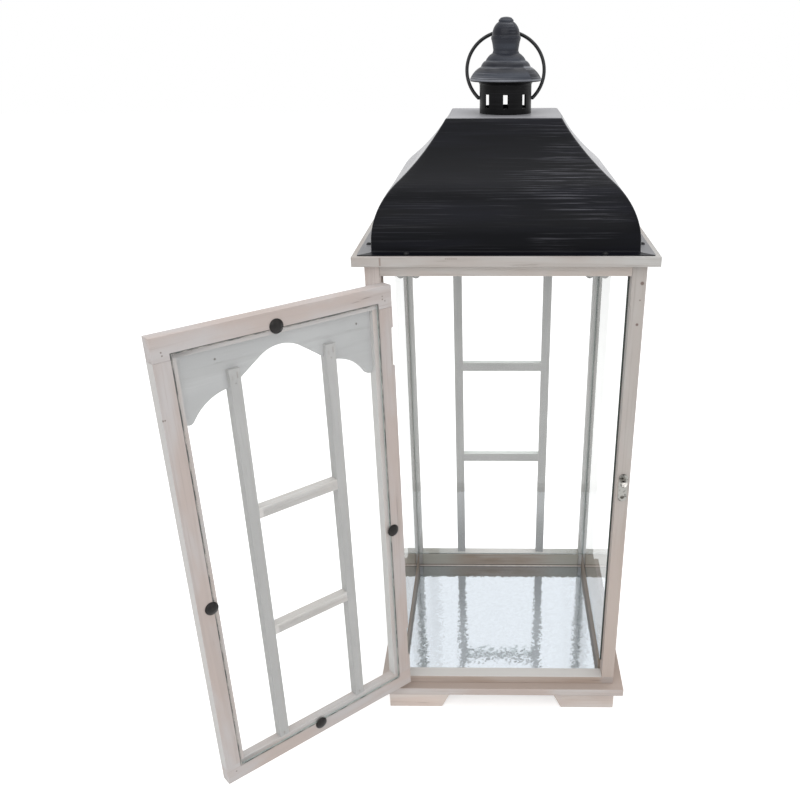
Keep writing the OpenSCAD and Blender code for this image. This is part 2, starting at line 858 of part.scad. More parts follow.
// Swinging hook, hanging from its rivet, with a curved notch that takes the catch stud
module latch_hook() {
  eye_r = 4.5;
  tip_r = 5;
  tip_x = -0.8; // the tip is fuller behind the notch
  arm_w = 7;
  color("#c4c2bc") at_door() translate([latch_u, -plate_t - hook_gap - hook_t, latch_z])
    upright(hook_t) difference() {
      union() {
        circle(eye_r);
        translate([-arm_w / 2, -latch_reach]) square([arm_w, latch_reach]);
        translate([tip_x, -latch_reach]) circle(tip_r);
      }
      circle(rivet_r + fit_gap);
      translate([0, -latch_reach]) circle(notch_r);
      intersection() {
        difference() {
          circle(latch_reach + notch_r);
          circle(latch_reach - notch_r);
        }
        translate([0, -2 * latch_reach]) square([tip_r + EPS, 2 * latch_reach]);
      }
    }
}

foot(180);  // foot_front_left
foot(270);  // foot_front_right
foot(90);  // foot_back_left
foot(0);  // foot_back_right
base_board();
sill_front();
rail_back();
rail_side(-1);  // rail_left
rail_side(1);  // rail_right
floor_board();
floor_sheet();
post_front_left();
post_front_right();
post_back(-1);  // post_back_left
post_back(1);  // post_back_right
header_front();
header_back();
header_side(-1);  // header_left
header_side(1);  // header_right
top_board(0);  // top_board_front
top_board(180);  // top_board_back
top_board(270);  // top_board_left
top_board(90);  // top_board_right
pane_side(-1);  // pane_left
pane_side(1);  // pane_right
pane_back();
back_valance();
back_mullion(-1);  // back_mullion_left
back_mullion(1);  // back_mullion_right
back_crossbars();
back_nails();
roof_shell();
roof_screws();
chimney_tube();
chimney_cap();
finial();
hinge_leaves_post();
hinge_pins();
hinge_screws_post();
catch_plate();
catch_stud();
catch_screw();
door_stile_hinge();
door_stile_latch();
door_rail(sight_top);  // door_rail_top
door_rail(door_z);  // door_rail_bottom
door_pane();
door_valance();
door_mullion(-1);  // door_mullion_left
door_mullion(1);  // door_mullion_right
door_crossbars();
door_nails();
pane_retainers();
hinge_leaves_door();
hinge_screws_door();
latch_plate();
latch_rivet();
latch_screw();
latch_hook();
ring_handle();
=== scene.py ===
import json
import math

import bmesh
import bpy
from mathutils import Matrix, Vector


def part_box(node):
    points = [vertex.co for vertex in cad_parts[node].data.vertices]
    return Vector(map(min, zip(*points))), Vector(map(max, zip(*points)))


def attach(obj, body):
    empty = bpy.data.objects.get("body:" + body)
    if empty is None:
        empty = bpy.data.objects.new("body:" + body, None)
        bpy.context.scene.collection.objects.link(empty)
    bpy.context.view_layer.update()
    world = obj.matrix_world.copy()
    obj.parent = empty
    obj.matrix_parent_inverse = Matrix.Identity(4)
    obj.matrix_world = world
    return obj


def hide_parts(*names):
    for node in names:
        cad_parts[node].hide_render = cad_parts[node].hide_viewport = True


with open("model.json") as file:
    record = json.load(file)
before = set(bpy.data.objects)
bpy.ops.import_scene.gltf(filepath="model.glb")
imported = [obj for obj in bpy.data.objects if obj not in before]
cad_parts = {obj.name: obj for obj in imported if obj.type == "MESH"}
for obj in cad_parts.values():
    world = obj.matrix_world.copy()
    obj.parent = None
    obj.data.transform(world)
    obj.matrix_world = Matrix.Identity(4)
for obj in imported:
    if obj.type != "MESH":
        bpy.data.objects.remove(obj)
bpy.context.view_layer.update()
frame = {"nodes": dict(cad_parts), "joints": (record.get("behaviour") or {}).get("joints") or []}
NODES = frame["nodes"]
MM = 0.001

# ---- camera ----

IMAGE_W = 800
FOCAL_PX = 886.83
CENTRE_PX = (478.58, 483.22)  # the picture's optical centre
CAMERA_AT = (-0.01191, -1.00812, 0.77266)
CAMERA_TURN = (62.4434, 0.2467, 0.8998)  # degrees
SENSOR_W = 36
NEAR, FAR = 0.01, 100


def make_camera():
    data = bpy.data.cameras.new("camera")
    data.sensor_width = SENSOR_W
    data.lens = SENSOR_W * FOCAL_PX / IMAGE_W
    data.shift_x = (IMAGE_W / 2 - CENTRE_PX[0]) / IMAGE_W
    data.shift_y = (CENTRE_PX[1] - IMAGE_W / 2) / IMAGE_W
    data.clip_start = NEAR
    data.clip_end = FAR
    camera = bpy.data.objects.new("camera", data)
    camera.location = CAMERA_AT
    camera.rotation_euler = [math.radians(a) for a in CAMERA_TURN]
    bpy.context.scene.collection.objects.link(camera)
    bpy.context.scene.camera = camera


# ---- places taken from the frame ----

HINGE = next(j for j in frame["joints"] if j["name"] == "door_hinge")
DOOR_OPEN = -HINGE["range_deg"][0]  # the closed door is at the hinge's lower limit
PIN = Vector(HINGE["pos_m"])
TO_CLOSED = Matrix.Rotation(math.radians(DOOR_OPEN), 3, "Z")
TO_OPEN = TO_CLOSED.inverted()
ROOF_LOW, ROOF_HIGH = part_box("roof_shell")


def closed_box(node):
    """The box of a door node with the door closed."""
    points = [TO_CLOSED @ (v.co - PIN) + PIN for v in NODES[node].data.vertices]
    low = Vector(min(p[i] for p in points) for i in range(3))
    high = Vector(max(p[i] for p in points) for i in range(3))
    return low, high


# ---- mesh helpers ----

WELD_GAP = 0.01 * MM
FLAT_ANGLE = math.radians(0.5)  # faces that meet at less are one face
EDGE_ANGLE = math.radians(35)  # edges sharper than this are rounded


def new_piece(name, mesh, body, slot, *materials):
    """A piece from a bmesh that rides on a body."""
    data = bpy.data.meshes.new(name)
    bmesh.ops.recalc_face_normals(mesh, faces=mesh.faces)
    mesh.to_mesh(data)
    mesh.free()
    for material in materials:
        data.materials.append(material)
    piece = bpy.data.objects.new(name, data)
    bpy.context.scene.collection.objects.link(piece)
    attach(piece, body)
    return piece


def add_box(mesh, low, high, bevel=0.0):
    """Adds a box, with its edges cut off where bevel is above 0."""
    size = Vector(high) - Vector(low)
    centre = (Vector(high) + Vector(low)) / 2
    made = bmesh.ops.create_cube(mesh, size=1.0)
    bmesh.ops.scale(mesh, vec=size, verts=made["verts"])
    bmesh.ops.translate(mesh, vec=centre, verts=made["verts"])
    if bevel:
        edges = {e for v in made["verts"] for e in v.link_edges}
        bmesh.ops.bevel(
            mesh, geom=list(edges), offset=bevel, segments=1, affect="EDGES", profile=0.5
        )


def open_door(mesh):
    """Turns a mesh that was drawn with the door closed to where the door stands."""
    bmesh.ops.rotate(mesh, verts=mesh.verts, cent=PIN, matrix=TO_OPEN)


def soften(node, width):
    """Rounds a CAD node's sharp edges without changing its mesh."""
    piece = NODES[node]
    weld = piece.modifiers.new("weld", "WELD")
    weld.merge_threshold = WELD_GAP
    flat = piece.modifiers.new("flat", "DECIMATE")
    flat.decimate_type = "DISSOLVE"
    flat.angle_limit = FLAT_ANGLE
    bevel = piece.modifiers.new("edge", "BEVEL")
    bevel.width = width
    bevel.segments = 2
    bevel.limit_method = "ANGLE"
    bevel.angle_limit = EDGE_ANGLE
    bevel.miter_outer = "MITER_ARC"


# ---- shader helpers ----

RANDOM_SHIFT = 9.0  # metres by which patterns are moved at most from object to object


def colour(text):
    """Linear RGBA of a colour such as #C8BCB4."""
    parts = [int(text[i : i + 2], 16) / 255 for i in (1, 3, 5)]
    linear = [c / 12.92 if c <= 0.04045 else ((c + 0.055) / 1.055) ** 2.4 for c in parts]
    return (*linear, 1.0)


class Graph:
    """One material's nodes, built with short calls that take numbers or sockets."""

    def __init__(self, name):
        self.material = bpy.data.materials.new(name)
        self.material.use_nodes = True
        self.tree = self.material.node_tree
        self.tree.nodes.clear()

    def add(self, kind, values=(), **settings):
        node = self.tree.nodes.new("ShaderNode" + kind)
        for key, value in settings.items():
            setattr(node, key, value)
        for key, value in dict(values).items():
            socket = node.inputs[key]
            if isinstance(value, bpy.types.NodeSocket):
                self.tree.links.new(value, socket)
            else:
                socket.default_value = value
        return node

    def math(self, operation, a, b=0.0, c=0.0):
        return self.add("Math", {0: a, 1: b, 2: c}, operation=operation).outputs[0]

    def vector(self, operation, a, b):
        return self.add("VectorMath", {0: a, 1: b}, operation=operation).outputs[0]

    def split(self, vector):
        """The three parts of a vector."""
        return self.add("SeparateXYZ", {0: vector}).outputs

    def mix(self, factor, a, b):
        """A colour between a and b."""
        return self.add("Mix", {0: factor, 6: a, 7: b}, data_type="RGBA").outputs[2]

    def blend(self, factor, a, b):
        """A number between a and b."""
        return self.add("Mix", {0: factor, 2: a, 3: b}).outputs[0]

    def steps(self, value, low, high, to_low=0.0, to_high=1.0):
        """Value eased from to_low at low to to_high at high."""
        node = self.add(
            "MapRange",
            {0: value, 1: low, 2: high, 3: to_low, 4: to_high},
            interpolation_type="SMOOTHSTEP",
        )
        return node.outputs[0]

    def noise(self, place, repeats, detail, roughness=0.5, distortion=0.0):
        """Noise with as many waves in a metre as repeats says for each axis."""
        node = self.add(
            "TexNoise",
            {
                "Vector": self.vector("MULTIPLY", place, repeats),
                "Scale": 1.0,
                "Detail": detail,
                "Roughness": roughness,
                "Distortion": distortion,
            },
        )
        return node.outputs["Fac"]

    def coordinates(self, turn=None):
        """Object coordinates in metres, turned by a matrix, shifted at random for each object."""
        place = self.add("TexCoord").outputs["Object"]
        if turn is not None:
            place = self.add("Mapping", {"Vector": place, "Rotation": turn.to_euler()}).outputs[0]
        chance = self.add("ObjectInfo").outputs["Random"]
        return self.vector("ADD", place, self.math("MULTIPLY", chance, RANDOM_SHIFT))

    def bump(self, height, distance, strength=1.0):
        node = self.add("Bump", {"Height": height, "Distance": distance, "Strength": strength})
        return node.outputs[0]

    def surface(self, base, roughness, normal, metallic=0.0, specular=0.5):
        """Finishes a material that has one shader."""
        shader = self.add(
            "BsdfPrincipled",
            {
                "Base Color": base,
                "Metallic": metallic,
                "Roughness": roughness,
                "Specular IOR Level": specular,
                "Normal": normal,
            },
        )
        return self.finish(shader)

    def finish(self, shader):
        self.add("OutputMaterial", {"Surface": shader.outputs[0]})
        return self.material


# ---- painted wood ----

UP = Vector((0, 0, 1))
GRAIN_X = Matrix.Identity(3)
GRAIN_Y = Matrix.Rotation(math.radians(-90), 3, "Z")
GRAIN_Z = Matrix.Rotation(math.radians(90), 3, "Y")

# waves in a metre, along the grain and twice across it
FINE_GRAIN = (9.0, 420.0, 420.0)
PAINT_PATCHES = (9.0, 34.0, 34.0)
GRAIN_BANDS = (5.0, 110.0, 110.0)
PORES = (26.0, 900.0, 900.0)
PORE_DEPTH = 1.5  # of a pore, as a share of the grain's height
WOOD_RELIEF = 0.25 * MM

WASH = {"thin": "#C2B4AD", "thick": "#CCC6C3", "line": "#AEA29D", "pore": "#7D7069"}
# painted light: a brighter copy of WASH, for the lit front of the left front post
WASH_LIT = {"thin": "#D2C3BB", "thick": "#DCD6D3", "line": "#BDB0AA", "pore": "#867972"}
POST = {"thin": "#B7B0AB", "thick": "#BEBCB9", "line": "#A39C96", "pore": "#7D7069"}
HEADER = {"thin": "#C3B9B2", "thick": "#C9C4C0", "line": "#AEA49D", "pore": "#7D7069"}
BACK = {"thin": "#BEBCBA", "thick": "#C4C4C2", "line": "#A7A5A2", "pore": "#7D7672"}
DOOR = {"thin": "#C3B6B0", "thick": "#C8C3C2", "line": "#B2A7A2", "pore": "#7D7069"}
# SILL is darker and browner than the wash: stain, and painted shade on the sill
SILL = {"thin": "#B4A397", "thick": "#BDB0A8", "line": "#A29085", "pore": "#7D7069"}
BAR = {"thin": "#B3B2B1", "thick": "#BCBBBA", "line": "#A5A4A3", "pore": "#7C7B7A"}
DOOR_BAR = {"thin": "#A8A7A6", "thick": "#B1B0AF", "line": "#9B9A99", "pore": "#757473"}
CROSS = {"thin": "#CCC7C3", "thick": "#D8D5D3", "line": "#BAB2AC", "pore": "#8A817A"}
RAIL = {"thin": "#8F7F70", "thick": "#A1988F", "line": "#7B7167", "pore": "#574E47"}
FEET = {"thin": "#D2C4BC", "thick": "#DAD2CD", "line": "#C1B3AA", "pore": "#8D7F77"}
# painted light: a brighter copy of FEET, for the front left foot in the door's shadow
FEET_LIT = {"thin": "#E3D4CB", "thick": "#EBE3DD", "line": "#D0C1B8", "pore": "#988A81"}
FRET = {"thin": "#BBBBBC", "thick": "#C4C4C5", "line": "#ADACAC", "pore": "#7C7B7A"}


def tone_sides(g, painted, way, tone):
    """The paint with a tone on the faces that look along a direction or against it."""
    normal = g.add("TexCoord").outputs["Normal"]
    along = g.add("VectorMath", {0: normal, 1: way}, operation="DOT_PRODUCT").outputs["Value"]
    facing = g.steps(g.math("ABSOLUTE", along), 0.7, 0.9, 0.0, 0.85)
    return g.mix(facing, painted, colour(tone))


def tone_along(g, painted, axis, start, end, tone):
    """The paint going over to a tone where the distance from 0 on an axis runs from start to end."""
    own = g.split(g.add("TexCoord").outputs["Object"])[axis]
    far = g.steps(g.math("ABSOLUTE", own), start, end, 0.0, 0.75)
    return g.mix(far, painted, colour(tone))


def tone_mark(g, painted, at, radius, tone):
    """The paint with a soft round mark at a place."""
    own = g.add("TexCoord").outputs["Object"]
    far = g.add("VectorMath", {0: own, 1: at}, operation="DISTANCE").outputs["Value"]
    near = g.steps(far, 0.4 * radius, radius, 0.85, 0.0)
    return g.mix(near, painted, colour(tone))


def wood(name, turn, paint, marks=(), graded=None, sides=None):
    """Softwood under thin paint: grain lines, warm and cool patches, open pores, and marks.

    marks, shaded and sides hold what tone_mark, tone_along and tone_sides take.
    """
    g = Graph(name)
    place = g.coordinates(turn)
    fine = g.noise(place, FINE_GRAIN, detail=4, roughness=0.6)
    patch = g.noise(place, PAINT_PATCHES, detail=3)
    band = g.noise(place, GRAIN_BANDS, detail=2, distortion=0.4)
    pores = g.noise(place, PORES, detail=2)

    thick_paint = g.steps(patch, 0.36, 0.62)
    fine_line = g.steps(fine, 0.52, 0.72, 0.0, 0.5)
    dark_band = g.steps(band, 0.5, 0.66, 0.0, 0.3)
    open_pore = g.math("MULTIPLY", g.steps(pores, 0.66, 0.74), g.steps(band, 0.5, 0.62))

    painted = g.mix(thick_paint, colour(paint["thin"]), colour(paint["thick"]))
    painted = g.mix(fine_line, painted, colour(paint["line"]))
    painted = g.mix(dark_band, painted, colour(paint["line"]))
    painted = g.mix(g.math("MULTIPLY", open_pore, 0.6), painted, colour(paint["pore"]))
    if sides:
        painted = tone_sides(g, painted, *sides)
    if graded:
        painted = tone_along(g, painted, *graded)
    for each in marks:
        painted = tone_mark(g, painted, *each)

    height = g.math("SUBTRACT", fine, g.math("MULTIPLY", open_pore, PORE_DEPTH))
    return g.surface(
        base=painted,
        roughness=g.steps(patch, 0.3, 0.7, 0.5, 0.66),
        specular=0.35,
        normal=g.bump(height, WOOD_RELIEF, 0.6),
    )


# ---- glass ----

GRIT = (300.0, 300.0, 300.0)  # waves in a metre on a ground edge
GLASS_CLEAR = (0.988, 0.992, 0.99, 1)
GLASS_MIRROR = (0.98, 0.99, 0.985, 1)
MIRROR_HEAD_ON = 0.07  # share that both faces of a pane mirror
MIRROR_LOW = 0.93  # what a low angle adds to it


def glass():
    """Thin clear float glass that mirrors at a low angle, once for both of its faces."""
    g = Graph("clear_glass")
    clear = g.add("BsdfTransparent", {"Color": GLASS_CLEAR})
    mirror = g.add(
        "BsdfPrincipled", {"Base Color": GLASS_MIRROR, "Metallic": 1.0, "Roughness": 0.004}
    )
    facing = g.add("LayerWeight", {"Blend": 0.5}).outputs["Facing"]
    low_angle = g.math("POWER", facing, 4.0)
    mirrored = g.math("MULTIPLY_ADD", low_angle, MIRROR_LOW, MIRROR_HEAD_ON)
    entering = g.math("SUBTRACT", 1.0, g.add("NewGeometry").outputs["Backfacing"])
    share = g.math("MULTIPLY", mirrored, entering)
    return g.finish(g.add("MixShader", {0: share, 1: clear.outputs[0], 2: mirror.outputs[0]}))


def glass_edge(name, dark, light):
    """The ground edge of a pane."""
    g = Graph(name)
    grit = g.noise(g.coordinates(), GRIT, detail=2)
    return g.surface(
        base=g.mix(grit, colour(dark), colour(light)),
        roughness=0.35,
        normal=g.bump(grit, 0.05 * MM),
    )


# ---- painted sheet ----

# waves in a metre: along the stroke, up the sheet and through it
BRUSH_FINE = (11.0, 850.0, 60.0)
BRUSH_BROAD = (6.0, 90.0, 20.0)
BRUSH_HAZE = (9.0, 22.0, 9.0)
BRUSH_DEPTH = 0.3  # how much of the distance through the sheet the brushing follows
BRUSH_RELIEF = 0.06 * MM
QUIET_EDGE = 0.04  # metres on either side of the middle where the brushing grows

ROOF_PAINT = {"dark": "#07080D", "light": "#111219", "streak": "#83838C"}
TUBE_PAINT = {"dark": "#0C0C0D", "light": "#131315", "streak": "#3A3A3D"}
SLATE_PAINT = {"dark": "#1D1F27", "light": "#3F434C", "streak": "#A9ACB4"}
# painted sheen: the pale side-flange strips and the pale flat top stand for light the roof reflects
SIDE_FLANGE_SHEEN = "#828285"
FLAT_TOP_SHEEN = "#97979B"
# painted sheen: the pale grey the roof takes where it is seen from the side
LOW_ANGLE_SHEEN = "#C9C9CC"

SHEET_T = 0.8 * MM
FLANGE_TOP = ROOF_LOW.z + SHEET_T + 0.3 * MM  # just above the flange's upper face


def ridge_wear_and_highlight(g, painted, streak, z, haze, ridge_z, ridge_w):
    """The paint paler round a height: rubbed paint with a painted highlight on the ridge."""
    off = g.math("ABSOLUTE", g.math("SUBTRACT", z, ridge_z))
    near = g.steps(off, 0.3 * ridge_w, ridge_w, 1.0, 0.0)
    # the rubbed paint and the painted highlight share this noise
    worn = g.steps(haze, 0.35, 0.65, 0.1, 0.55)
    return g.mix(g.math("MULTIPLY", near, worn), painted, colour(streak))


def roof_sheen(g, painted, x, y, z, upward):
    """The paint with painted sheen: paler strips on the side flanges and a paler flat top."""
    beside = g.math("GREATER_THAN", g.math("ABSOLUTE", x), g.math("ABSOLUTE", y))
    low = g.steps(z, FLANGE_TOP, FLANGE_TOP + MM, 1.0, 0.0)
    painted = g.mix(g.math("MULTIPLY", low, beside), painted, colour(SIDE_FLANGE_SHEEN))
    high = g.steps(z, ROOF_HIGH.z - 2 * MM, ROOF_HIGH.z - 0.5 * MM)
    flat = g.math("MULTIPLY", high, g.steps(upward, 0.9, 0.99))
    return g.mix(flat, painted, colour(FLAT_TOP_SHEEN))


def sheen_at_low_angle(g, painted, upward, low_angle):
    """Painted sheen: the paint paler where it is seen from the side, apart from faces that look up.
    """
    facing = g.add("LayerWeight", {"Blend": 0.5}).outputs["Facing"]
    upright = g.steps(upward, 0.8, 0.95, low_angle, 0.0)
    pale = g.math("MULTIPLY", g.math("POWER", facing, 4.0), upright)
    return g.mix(pale, painted, colour(LOW_ANGLE_SHEEN))


def sheet_paint(name, paint, amount, specular, quiet=1.0, ridges=(), roof=False, low_angle=0.0):
    """Satin paint on sheet, dry-brushed along the horizontal, and on its ridges with a painted
    highlight.

    amount is how strong the brushing is, and the left half gets the share quiet of it. ridges
    holds (height, width) pairs. low_angle is how far painted sheen pales the paint from the side.
    """
    g = Graph(name)
    coords = g.add("TexCoord")
    x, y, z = g.split(coords.outputs["Object"])
    to_right, to_back, upward = g.split(coords.outputs["Normal"])
    side_on = g.math(
        "GREATER_THAN", g.math("ABSOLUTE", to_right), g.math("ABSOLUTE", to_back)
    )
    along = g.blend(side_on, x, y)
    through = g.math("MULTIPLY", g.blend(side_on, y, x), BRUSH_DEPTH)
    swept = g.add("CombineXYZ", {0: along, 1: z, 2: through}).outputs[0]
    fine = g.noise(swept, BRUSH_FINE, detail=4, roughness=0.65)
    broad = g.noise(swept, BRUSH_BROAD, detail=3)
    haze = g.noise(swept, BRUSH_HAZE, detail=2)

    share = g.steps(along, -QUIET_EDGE, QUIET_EDGE, quiet, 1.0)
    heavy = g.math("MULTIPLY", g.steps(haze, 0.4, 0.66), share)
    brushed = g.math("MULTIPLY", g.steps(fine, 0.5, 0.72), heavy)
    painted = g.mix(g.steps(broad, 0.4, 0.7), colour(paint["dark"]), colour(paint["light"]))
    painted = g.mix(g.math("MULTIPLY", brushed, amount), painted, colour(paint["streak"]))
    # the ridges get rubbed paint and a painted highlight
    for ridge in ridges:
        painted = ridge_wear_and_highlight(g, painted, paint["streak"], z, haze, *ridge)
    # painted sheen on the roof's side flanges and flat top
    if roof:
        painted = roof_sheen(g, painted, x, y, z, upward)
    # painted sheen where the sheet is seen from the side
    if low_angle:
        painted = sheen_at_low_angle(g, painted, upward, low_angle)
    return g.surface(
        base=painted,
        roughness=g.steps(broad, 0.3, 0.7, 0.3, 0.44),
        specular=specular,
        normal=g.bump(fine, BRUSH_RELIEF, 0.5),
    )


# ---- metals and plastic ----

FACET_TILT = (0.026, 0.028, 0.0)  # how far a spangle can lean, as a slope
SPANGLES = 330.0  # in a metre
WANDER = (60.0, 60.0, 60.0)
WANDER_BY = 0.02  # metres by which the spangles' edges wander
RIPPLES = (150.0, 150.0, 150.0)
RIPPLE_H = 0.02 * MM
SCRATCHES = (200.0, 200.0, 2500.0)
SCRATCH_RELIEF = 0.03 * MM
# DIRT and DIRT_EDGE shape the dark tone of plated steel: dirt, and on the catch painted dark
# reflection as well
DIRT = (260.0, 260.0, 260.0)
DIRT_EDGE = 0.25  # range of the dirt's noise from clean to full grime
MOTTLE_RELIEF = 0.05 * MM
CENTRED = (0.5, 0.5, 0.5)


def galvanised():
    """Zinc whose spangles are small facets, each tilted its own way."""
    g = Graph("galvanised_sheet")
    coords = g.add("TexCoord")
    place = coords.outputs["Object"]
    wander = g.noise(place, WANDER, detail=2)
    bent = g.vector("ADD", place, g.math("MULTIPLY", wander, WANDER_BY))
    spangle = g.add(
        "TexVoronoi", {"Vector": bent, "Scale": SPANGLES, "Randomness": 1.0}, feature="F1"
    )
    cell = spangle.outputs["Color"]
    shade = g.add("SeparateColor", {0: cell}).outputs[0]
    lean_by = g.vector("MULTIPLY", g.vector("SUBTRACT", cell, CENTRED), FACET_TILT)
    facet = g.vector("ADD", coords.outputs["Normal"], lean_by)
    level = g.add("VectorMath", {0: facet}, operation="NORMALIZE").outputs[0]
    ripple = g.noise(place, RIPPLES, detail=1)
    wavy = g.add("Bump", {"Height": ripple, "Distance": RIPPLE_H, "Normal": level})
    return g.surface(
        base=g.mix(shade, colour("#DAE0E7"), colour("#E0E6ED")),
        metallic=1.0,
        roughness=g.steps(shade, 0.0, 1.0, 0.05, 0.07),
        normal=wavy.outputs[0],
    )


def plated(name, tint, roughness, grime_and_reflection="#6E6A63", clean=0.5):
    """Plated steel with fine scratches, and a dark tone where its noise is above clean."""
    g = Graph(name)
    place = g.coordinates()
    scratch = g.noise(place, SCRATCHES, detail=2)
    # the dark tone is dirt, and on the catch painted dark reflection as well
    dirt = g.noise(place, DIRT, detail=3)
    dirt_and_reflection_share = g.steps(dirt, clean, clean + DIRT_EDGE)
    return g.surface(
        base=g.mix(dirt_and_reflection_share, colour(tint), colour(grime_and_reflection)),
        metallic=1.0,
        roughness=g.steps(scratch, 0.3, 0.8, roughness, roughness + 0.2),
        normal=g.bump(scratch, SCRATCH_RELIEF, 0.5),
    )


def plain(name, dark, light, waves, roughness, specular=0.5):
    """Paint or moulded plastic with slight mottling, of so many waves in a metre."""
    g = Graph(name)
    mottle = g.noise(g.coordinates(), (waves, waves, waves), detail=3)
    return g.surface(
        base=g.mix(g.steps(mottle, 0.35, 0.7), colour(dark), colour(light)),
        roughness=g.steps(mottle, 0.3, 0.7, roughness, roughness + 0.12),
        specular=specular,
        normal=g.bump(mottle, MOTTLE_RELIEF, 0.5),
    )


# ---- roof ----

FLANGE_LIP = 12.7 * MM
SKIRT_H = 7.7 * MM
SHOULDER_R = 70 * MM
SHOULDER_A = math.radians(51)
SWEEP_R = 229 * MM
HIP_R = 2.2 * MM  # rounding of the roof's four hips
FOLD_R = 1.6 * MM  # rounding of its folds
TUBE_HOLE_R = 27.05 * MM
FLAT_HALF = 66 * MM  # half the width of the roof's flat top
ROOF_LEAN = 2.8 * MM  # how far the front's top edge stands to the left
FOLD_STEPS, SHOULDER_STEPS, SWEEP_STEPS = 4, 14, 18
SIDE_STEPS, HIP_STEPS = 20, 4


def roof_profile():
    """Points (half-width, height) of the roof's outer face.

    They run from the flange's edge over the fold, the shoulder and the sweep to the flat top.
    """
    flange = ROOF_HIGH.x
    wall = flange - FLANGE_LIP
    low = ROOF_LOW.z + SHEET_T
    top = ROOF_HIGH.z
    fold_centre = Vector((wall + FOLD_R, low + FOLD_R))
    shoulder = Vector((wall - SHOULDER_R, ROOF_LOW.z + SKIRT_H))
    way = Vector((math.cos(SHOULDER_A), math.sin(SHOULDER_A)))
    sweep = shoulder + (SHOULDER_R + SWEEP_R) * way
    points = [Vector((flange, low)), Vector((wall + FOLD_R, low))]
    for i in range(1, FOLD_STEPS):
        a = math.radians(90 * i / FOLD_STEPS)
        points.append(fold_centre - FOLD_R * Vector((math.sin(a), math.cos(a))))
    points.append(Vector((wall, low + FOLD_R)))
    for i in range(SHOULDER_STEPS + 1):
        a = SHOULDER_A * i / SHOULDER_STEPS
        points.append(shoulder + SHOULDER_R * Vector((math.cos(a), math.sin(a))))
    end_a = math.asin((sweep.y - (top - FOLD_R / 2)) / SWEEP_R)
    for i in range(1, SWEEP_STEPS + 1):
        a = SHOULDER_A + (end_a - SHOULDER_A) * i / SWEEP_STEPS
        points.append(sweep - SWEEP_R * Vector((math.cos(a), math.sin(a))))
    last = points[-1]  # the last two points round the fold into the flat top
    points.append(Vector((last.x - 0.45 * FOLD_R, top - 0.12 * FOLD_R)))
    points.append(Vector((last.x - FOLD_R, top)))
    return points


def hipped_ring(half):
    """Points round a square with rounded corners, from the front's left end."""
    points = []
    straight = half - HIP_R
    for quarter in range(4):
        turn = Matrix.Rotation(math.radians(90 * quarter), 2)
        for i in range(SIDE_STEPS):
            u = -straight + 2 * straight * i / SIDE_STEPS
            points.append(turn @ Vector((u, -half)))
        for i in range(HIP_STEPS):
            a = math.radians(90 * i / HIP_STEPS)
            bend = Vector((straight + HIP_R * math.sin(a), -straight - HIP_R * math.cos(a)))
            points.append(turn @ bend)
    return points


def bridge(mesh, lower, upper):
    """Faces between two rings of vertices with as many points."""
    n = len(lower)
    for i in range(n):
        j = (i + 1) % n
        mesh.faces.new((lower[i], lower[j], upper[j], upper[i]))


def lean(x, y, z):
    """A point of the roof, moved to the left towards the top of the front, as in the photo."""
    up = (z - ROOF_LOW.z) / (ROOF_HIGH.z - ROOF_LOW.z)
    front = min(max((-y - TUBE_HOLE_R) / (FLAT_HALF - TUBE_HOLE_R), 0), 1)
    return Vector((x - ROOF_LEAN * up * up * front, y, z))


def roof_rings(mesh):
    """Rings of vertices from the flange's edge up the roof and in to the tube's hole."""
    profile = roof_profile()
    rings = [[mesh.verts.new(lean(*p, z)) for p in hipped_ring(half)] for half, z in profile]
    flat_edge = hipped_ring(profile[-1].x)
    for share in (0.5, 1.0):
        inward = [p.lerp(p.normalized() * TUBE_HOLE_R, share) for p in flat_edge]
        rings.append([mesh.verts.new(lean(*p, ROOF_HIGH.z)) for p in inward])
    return rings


def build_roof(material):
    mesh = bmesh.new()
    rings = roof_rings(mesh)
    for lower, upper in zip(rings, rings[1:]):
        bridge(mesh, lower, upper)
    for face in mesh.faces:
        face.smooth = True
    for edge in mesh.edges:
        edge.smooth = not edge.is_boundary
    roof = new_piece("roof_sheet", mesh, "lantern", "black_sheet", material)
    thick = roof.modifiers.new("thick", "SOLIDIFY")
    thick.thickness = SHEET_T
    thick.offset = -1
    thick.use_even_offset = True
    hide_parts("roof_shell")


# ---- panes ----

PANE_BEVEL = 0.25 * MM


def build_pane(node, body, face, edge, closed=False):
    """A pane with ground edges in place of its CAD node; closed is for the door's pane."""
    low, high = closed_box(node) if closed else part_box(node)
    mesh = bmesh.new()
    add_box(mesh, low, high, PANE_BEVEL)
    thin = min(range(3), key=lambda i: (high - low)[i])
    for f in mesh.faces:
        f.material_index = 0 if abs(f.normal[thin]) > 0.99 else 1
    if closed:
        open_door(mesh)
    pane = new_piece(node + "_glass", mesh, body, "clear_glass", face, edge)
    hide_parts(node)


# ---- seals, nails and the sheet's edge ----

SEAL_W = 0.9 * MM
SEAL_H = 0.5 * MM
SEAL_BEVEL = 0.12 * MM
VALANCE_NAILS = (-85, 65)  # across the closed door, in mm
VALANCE_NAIL_Z = 511.5  # in mm
NAIL_R = 1.1 * MM
NAIL_H = 0.4 * MM
RIM_H, RIM_OUT = 1.3, 0.5  # the sheet's turned-up edge, in mm
# JOINT_H and JOINT_OUT size a dark strip of painted shadow in the joint
JOINT_H, JOINT_OUT = 1.0, 0.25  # the dark joint above it, in mm


